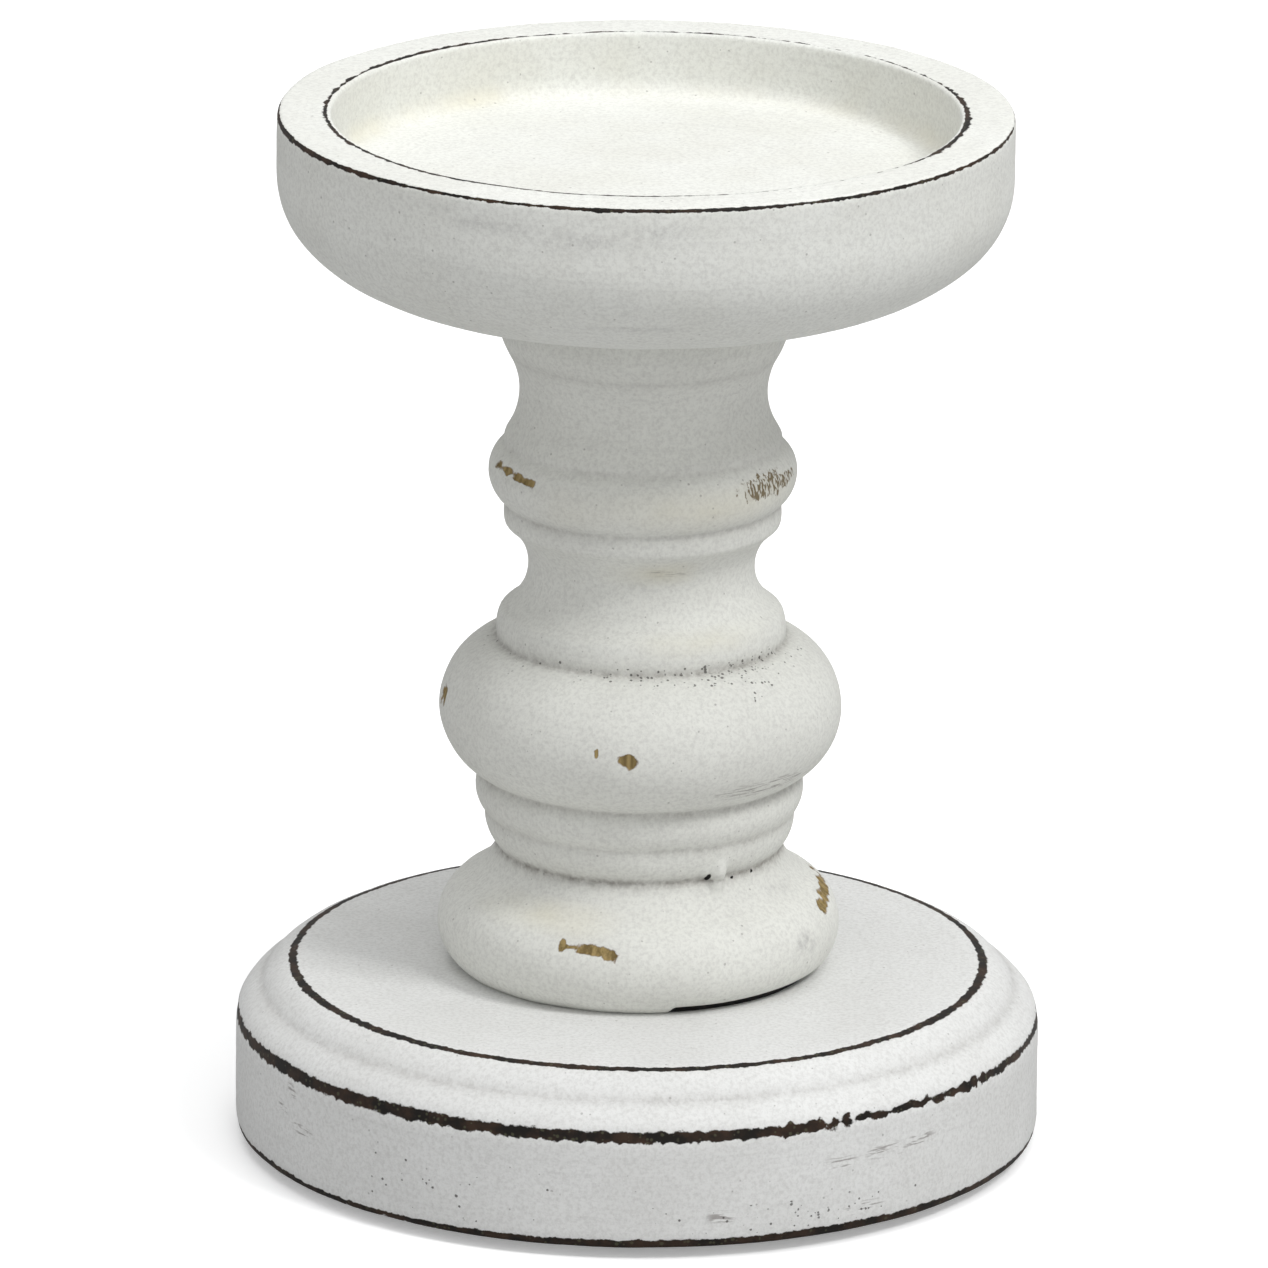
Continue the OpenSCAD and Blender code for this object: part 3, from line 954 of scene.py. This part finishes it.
def dotted(tree, colour):
    """The colour with its dots and grit, and the mask of the grit."""
    fine = put_group(tree, dots, Amount=0.02, Size=0.28, Scale=1700.0)[0]
    faint = put_group(tree, dots, Amount=0.2, Size=0.6, Scale=1500.0)[0]
    amount = times(tree, field(tree, "grit"), 0.75)
    grit = put_group(tree, dots, Amount=amount, Size=0.45, Scale=2100.0)[0]
    colour = blend(tree, times(tree, faint, 0.05), colour, FAINT_DOT)
    colour = blend(tree, times(tree, fine, 0.40), colour, FINE_DOT)
    return blend(tree, times(tree, grit, 0.8), colour, GRIT_BLACK), grit


print("dirt and dots are ready")

# %% [markdown]
# Under the paint the wood is stained nearly black, with reddish brown patches and specks of
# old wax. Where the paint is only scuffed, short upright strokes of wood show through it.

# %% The wood that shows
STAIN_BLACK = (0.010, 0.008, 0.0065, 1)
STAIN_BROWN = (0.045, 0.025, 0.015, 1)
WAX_SPECK = (0.085, 0.085, 0.05, 1)


def dark_wood_colour(tree):
    """Stained wood: nearly black to reddish brown, with grey-green specks of old wax."""
    patches = between(tree, mottle(tree, 260.0, 4.0, 0.6), 0.38, 0.68)
    colour = blend(tree, patches, STAIN_BLACK, STAIN_BROWN)
    specks = put_group(tree, dots, Amount=0.2, Size=0.5, Scale=1900.0)[0]
    return blend(tree, times(tree, specks, 0.6), colour, WAX_SPECK)


def scuffed(tree):
    """The mask of the scuffed patches, in short upright strokes."""
    patch = put_group(tree, ragged_edge, Field=field(tree, "scuff"), Raggedness=0.7, Scale=1100.0)[0]
    upright = squeezed(tree, 2600.0, 2600.0, 750.0)
    strokes = between(tree, mottle(tree, 1.0, 1.5, vector=upright), 0.43, 0.53)
    return times(tree, patch, plus(tree, times(tree, strokes, 0.85), 0.12))


print("stained wood and scuffs are ready")

# %% [markdown]
# The whole finish stacks these by their masks. The same masks drive the bump, so the paint
# has a thickness where it ends. Chalk paint is matt, and the stained wood under it a little
# smoother. Each chip has a brown rim, where the stain shows between paint and bare wood.

# %% The worn paint material
# Black for the pinholes, and painted shade on the underside in the open joint.
PINHOLE_AND_GAP_SHADE_BLACK = (0.01, 0.009, 0.008, 1)
SCUFF_TAN = (0.20, 0.155, 0.09, 1)
CHIP_RIM = (0.20, 0.12, 0.07, 1)
BARE_LIGHT = (0.40, 0.295, 0.125, 1)
BARE_DARK = (0.17, 0.12, 0.045, 1)


def new_material(name):
    """A material, its node tree and its shader."""
    material = bpy.data.materials.new(name)
    material.use_nodes = True
    return material, material.node_tree, material.node_tree.nodes["Principled BSDF"]


def relief(tree, marks, layers):
    """One height from brush marks, the chalk's tooth and layers of (mask, height)."""
    layers = layers + [(marks, 0.35), (mottle(tree, 2600.0, 2.0), 0.22)]
    height = 0.0
    for mask, amount in layers:
        height = plus(tree, height, times(tree, mask, amount))
    return height


def worn_paint(name, tint, warm, grain):
    """The whole finish, from bare wood to the dots on the paint."""
    material, tree, shader = new_material(name)
    marks = put_group(tree, brush_marks, Fineness=1100.0, Length=28.0)[0]
    colour, grit = dotted(tree, dirt_and_shade_colour(tree, paint_colour(tree, tint, warm, marks)))
    chip_field = field(tree, "chip")
    pinhole_and_gap_shade = between(tree, field(tree, "pinhole_and_gap_shade"), 0.42, 0.55)
    bare = put_group(tree, ragged_edge, Field=chip_field, Raggedness=0.55, Scale=900.0)[0]
    worn = put_group(tree, ragged_edge, Field=field(tree, "worn"), Raggedness=0.7, Scale=700.0)[0]
    wider = plus(tree, chip_field, 0.07)
    rim = put_group(tree, ragged_edge, Field=wider, Raggedness=0.6, Scale=900.0)[0]
    tan = put_group(tree, wood_grain, Light=BARE_LIGHT, Dark=BARE_DARK, **grain)
    # Pinholes show black, and so does the painted shade in the open joint.
    colour = blend(tree, pinhole_and_gap_shade, colour, PINHOLE_AND_GAP_SHADE_BLACK)
    colour = blend(tree, scuffed(tree), colour, SCUFF_TAN)
    colour = blend(tree, times(tree, rim, 0.6), colour, CHIP_RIM)
    colour = blend(tree, bare, colour, tan["Color"])
    colour = blend(tree, worn, colour, dark_wood_colour(tree))
    feed(tree, shader.inputs["Base Color"], colour)
    matt = plus(tree, 0.64, times(tree, marks, 0.12))
    feed(tree, shader.inputs["Roughness"], maths(tree, "SUBTRACT", matt, times(tree, worn, 0.16)))
    shader.inputs["Specular IOR Level"].default_value = 0.22
    exposed = maths(tree, "MAXIMUM", worn, bare)
    dips = maths(tree, "MAXIMUM", grit, pinhole_and_gap_shade)
    fibres = times(tree, tan["Height"], bare)
    height = relief(tree, marks, [(exposed, -1.0), (dips, -0.6), (fibres, 0.4)])
    bump = place(tree, "Bump", Height=height, Distance=0.00012, Strength=0.8)
    feed(tree, shader.inputs["Normal"], bump.outputs[0])
    return material


print("the worn paint can be mixed")

# %% [markdown]
# The three pieces were painted from one tin, and age has made each a slightly different
# white. The grain runs up the column and across the two discs.

# %% Paint the three pieces
UPRIGHT_GRAIN = {"Across": 1000.0, "Along_X": 1000.0, "Along_Z": 70.0}
FLAT_GRAIN = {"Across": 1000.0, "Along_X": 70.0, "Along_Z": 1000.0}
base_paint = worn_paint("paint_base", (0.792, 0.796, 0.783, 1), (0.752, 0.754, 0.738, 1), FLAT_GRAIN)
column_paint = worn_paint("paint_column", (0.805, 0.81, 0.762, 1), (0.765, 0.768, 0.722, 1),
                          UPRIGHT_GRAIN)
cup_paint = worn_paint("paint_cup", (0.80, 0.808, 0.768, 1), (0.762, 0.767, 0.722, 1), FLAT_GRAIN)
for piece, paint in ((base_piece, base_paint), (column_piece, column_paint), (cup_piece, cup_paint)):
    piece.data.materials.append(paint)
    print(piece.name, "wears", paint.name)

# %% [markdown]
# Each painted piece stands in for the plain solid with the same outline, and moves with the
# same body. Nothing on the candlestick moves, so that body is the root.

# %% The wood pieces stand for their solids
for piece, solid in ((base_piece, "base_disc"), (column_piece, "column"), (cup_piece, "candle_cup")):
    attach(piece, "root")
    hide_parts(solid)
print("replaced: base_disc, column, candle_cup")

# %% [markdown]
# ## The steel
# The screws and the washer are zinc-plated. They sit inside the wood, and only a screw's head
# and the washer show from below. Their solids have the right shape, down to the cross slot,
# so they stay, and only get a finish: bright grey, with dull clouds and fine scratches.

# %% Plated steel
BRIGHT_STEEL = (0.56, 0.57, 0.58, 1)
DULL_STEEL = (0.36, 0.36, 0.35, 1)
RUST_SPOT = (0.20, 0.14, 0.09, 1)


def plated_steel():
    """Zinc plate: bright, clouded, with small rusty spots and fine scratches."""
    material, tree, shader = new_material("plated_steel")
    dull = between(tree, mottle(tree, 380.0, 4.0, 0.6), 0.42, 0.7)
    colour = blend(tree, dull, BRIGHT_STEEL, DULL_STEEL)
    stains = put_group(tree, dots, Amount=0.15, Size=0.5, Scale=900.0)[0]
    colour = blend(tree, times(tree, stains, 0.5), colour, RUST_SPOT)
    feed(tree, shader.inputs["Base Color"], colour)
    shader.inputs["Metallic"].default_value = 1.0
    feed(tree, shader.inputs["Roughness"], plus(tree, 0.28, times(tree, dull, 0.22)))
    scratches = put_group(tree, brush_marks, Fineness=5200.0, Length=160.0)[0]
    bump = place(tree, "Bump", Height=scratches, Distance=0.00003, Strength=0.5)
    feed(tree, shader.inputs["Normal"], bump.outputs[0])
    return material


steel = plated_steel()
STEEL_PIECES = ("base_screw", "base_washer", "cup_screw")
for hardware in STEEL_PIECES:
    frame["nodes"][hardware].data.materials.clear()
    frame["nodes"][hardware].data.materials.append(steel)
print("steel pieces:", ", ".join(STEEL_PIECES))

# %% [markdown]
# ## The felt pads
# Each pad is a disc punched from pressed felt. Its edge is cut straight but furry, and its
# faces are lumpy with matted fibres. The material has matted tufts and crossing fibres, and a
# sheen, because the loose fibre ends catch the light.

# %% Felt
FELT_DARK = (0.030, 0.026, 0.023, 1)
FELT_BROWN = (0.075, 0.066, 0.058, 1)
LOOSE_FIBRE = (0.17, 0.155, 0.14, 1)


def pressed_felt():
    """Dark brown felt with paler loose fibres."""
    material, tree, shader = new_material("pressed_felt")
    tufts = mottle(tree, 700.0, 5.0, 0.7)
    fibres = mottle(tree, 2600.0, 6.0, 0.75, distortion=3.0)
    colour = blend(tree, between(tree, tufts, 0.3, 0.7), FELT_DARK, FELT_BROWN)
    loose = times(tree, between(tree, fibres, 0.55, 0.75), 0.6)
    feed(tree, shader.inputs["Base Color"], blend(tree, loose, colour, LOOSE_FIBRE))
    shader.inputs["Roughness"].default_value = 0.95
    shader.inputs["Sheen Weight"].default_value = 0.35
    shader.inputs["Sheen Roughness"].default_value = 0.6
    height = plus(tree, tufts, times(tree, fibres, 0.8))
    bump = place(tree, "Bump", Height=height, Distance=0.00025, Strength=1.0)
    feed(tree, shader.inputs["Normal"], bump.outputs[0])
    return material


felt = pressed_felt()
print("material:", felt.name)

# %% [markdown]
# A pad's shape is a turned outline with a rounded lower edge, dented by noise the size of a
# tuft. It only goes inwards, so a pad stays in the place of its solid, and its glued upper
# face stays flat.

# %% Punch and place the pads
LOWER_ROUND = 0.3  # mm, where the pad is pressed on the table
UPPER_ROUND = 0.1  # mm, at the cut edge
TABLE_GAP = 0.02  # mm that the lower face stays clear of the table
TUFT = 0.5  # mm across
FUZZ_DEPTH = 0.05  # mm, half of the deepest dent


def felt_pad(number, material):
    """A pad in the place of its solid, a hair inside it."""
    low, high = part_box(f"felt_pad_{number}")
    middle = (low + high) / 2
    radius = (high.x - low.x) / 2 / MM
    bottom, top = low.z / MM, high.z / MM
    line = [
        (0, bottom + TABLE_GAP),
        (radius - LOWER_ROUND, bottom + TABLE_GAP),
        (radius - 0.08, bottom + 0.1),
        (radius, bottom + LOWER_ROUND),
        (radius, top - UPPER_ROUND),
        (radius - UPPER_ROUND, top),
        (0, top),
    ]
    pad = Turned(line, coarse=0.45, segments=120)
    below_the_top = pad.rows[:, 1:] < top - 0.05
    fuzz = solid_noise(pad, TUFT, 50 + number) * below_the_top
    pad.raised -= FUZZ_DEPTH * (1 + np.clip(fuzz, -1, 1))
    piece = turned_mesh(f"felt_{number}", pad)
    piece.data.transform(Matrix.Translation((middle.x, middle.y, 0)))
    piece.data.materials.append(material)
    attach(piece, "root")
    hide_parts(f"felt_pad_{number}")
    return piece


pads = [felt_pad(number, felt) for number in (1, 2, 3, 4)]
print("felt pads:", len(pads))

# %% [markdown]
# ## The studio
# The candlestick stands on a plain, nearly white floor that runs far back, so there is no
# horizon in the main view. To the camera it is white, while the light it throws back up is
# that of a grey table, so the undersides stay soft but not bright.

# %% Floor
FLOOR_HALF = 6.0
FLOOR_SEEN = (0.96, 0.96, 0.96, 1)
FLOOR_BOUNCE = (0.5, 0.5, 0.5, 1)
FLOOR_GLOW = 0.28
floor_mesh = bpy.data.meshes.new("studio_floor")
floor_corners = [(-1, -1), (1, -1), (1, 1), (-1, 1)]
floor_points = [(x * FLOOR_HALF, y * FLOOR_HALF, 0) for x, y in floor_corners]
floor_mesh.from_pydata(floor_points, [], [(0, 1, 2, 3)])
floor = bpy.data.objects.new("studio_floor", floor_mesh)
bpy.context.scene.collection.objects.link(floor)
floor_paint, floor_tree, floor_shader = new_material("floor_white")
seen = place(floor_tree, "LightPath").outputs["Is Camera Ray"]
feed(floor_tree, floor_shader.inputs["Base Color"], blend(floor_tree, seen, FLOOR_BOUNCE, FLOOR_SEEN))
floor_shader.inputs["Roughness"].default_value = 0.9
floor_shader.inputs["Emission Color"].default_value = (1, 1, 1, 1)
feed(floor_tree, floor_shader.inputs["Emission Strength"], times(floor_tree, seen, FLOOR_GLOW))
floor_mesh.materials.append(floor_paint)
print("floor side in metres:", 2 * FLOOR_HALF)

# %% [markdown]
# A soft lamp stands high at the right front, so the cup throws a shadow down the column's
# left. A wide one hangs overhead, a weak one stands in front, and a pale world fills in the
# rest. Sizes and distances are in metres, and powers in watts.

# %% Lights
AIM_HEIGHT = 0.08


def aim(thing, target):
    """Points a light's -Z at a place."""
    thing.rotation_euler = (Vector(target) - thing.location).to_track_quat("-Z", "Y").to_euler()


def soft_lamp(name, azimuth, elevation, distance, size, power):
    """A square area light round the object. Azimuth 0 is the front, 90 the right."""
    data = bpy.data.lights.new(name, "AREA")
    data.size = size
    data.energy = power
    lamp = bpy.data.objects.new(name, data)
    turn, up = math.radians(azimuth), math.radians(elevation)
    flat = math.cos(up) * distance
    lamp.location = (math.sin(turn) * flat, -math.cos(turn) * flat, math.sin(up) * distance)
    aim(lamp, (0, 0, AIM_HEIGHT))
    bpy.context.scene.collection.objects.link(lamp)
    return lamp


lamps = [
    soft_lamp("key_lamp", azimuth=52, elevation=52, distance=2.2, size=0.5, power=18.6),
    soft_lamp("top_lamp", azimuth=0, elevation=88, distance=2.5, size=2.0, power=26.5),
    soft_lamp("front_lamp", azimuth=0, elevation=35, distance=2.4, size=1.2, power=4.4),
]
world = bpy.data.worlds.new("pale_room")
world.use_nodes = True
room = world.node_tree.nodes["Background"].inputs
room["Color"].default_value = (0.985, 0.99, 1.0, 1)
room["Strength"].default_value = 0.50
bpy.context.scene.world = world
bpy.context.scene.view_settings.view_transform = "Standard"
print("lamps:", ", ".join(lamp.name for lamp in lamps))

# %% [markdown]
# ## The camera
# A long lens from almost two metres away, looking about 17 degrees down, keeps the rims as
# narrow ellipses and the sides nearly parallel. It leans by half a degree.

# %% Camera
CAMERA_DISTANCE = 1.9448
CAMERA_HEIGHT = 0.6672
CAMERA_DOWN = 16.952
CAMERA_LEAN = 0.57
CAMERA_TURN = -0.03
LENS = 404.4


def rotated(degrees, axis):
    return Matrix.Rotation(math.radians(degrees), 4, axis)


lens = bpy.data.cameras.new("long_lens")
lens.lens = LENS
lens.sensor_width = 36.0
lens.clip_end = 50.0
camera = bpy.data.objects.new("camera", lens)
stand = Matrix.Translation((0, -CAMERA_DISTANCE, CAMERA_HEIGHT))
heading = rotated(-CAMERA_TURN, "Z") @ rotated(90 - CAMERA_DOWN, "X")
camera.matrix_world = stand @ heading @ rotated(CAMERA_LEAN, "Z")
bpy.context.scene.collection.objects.link(camera)
bpy.context.scene.camera = camera
print("camera at", [round(value, 3) for value in camera.location])
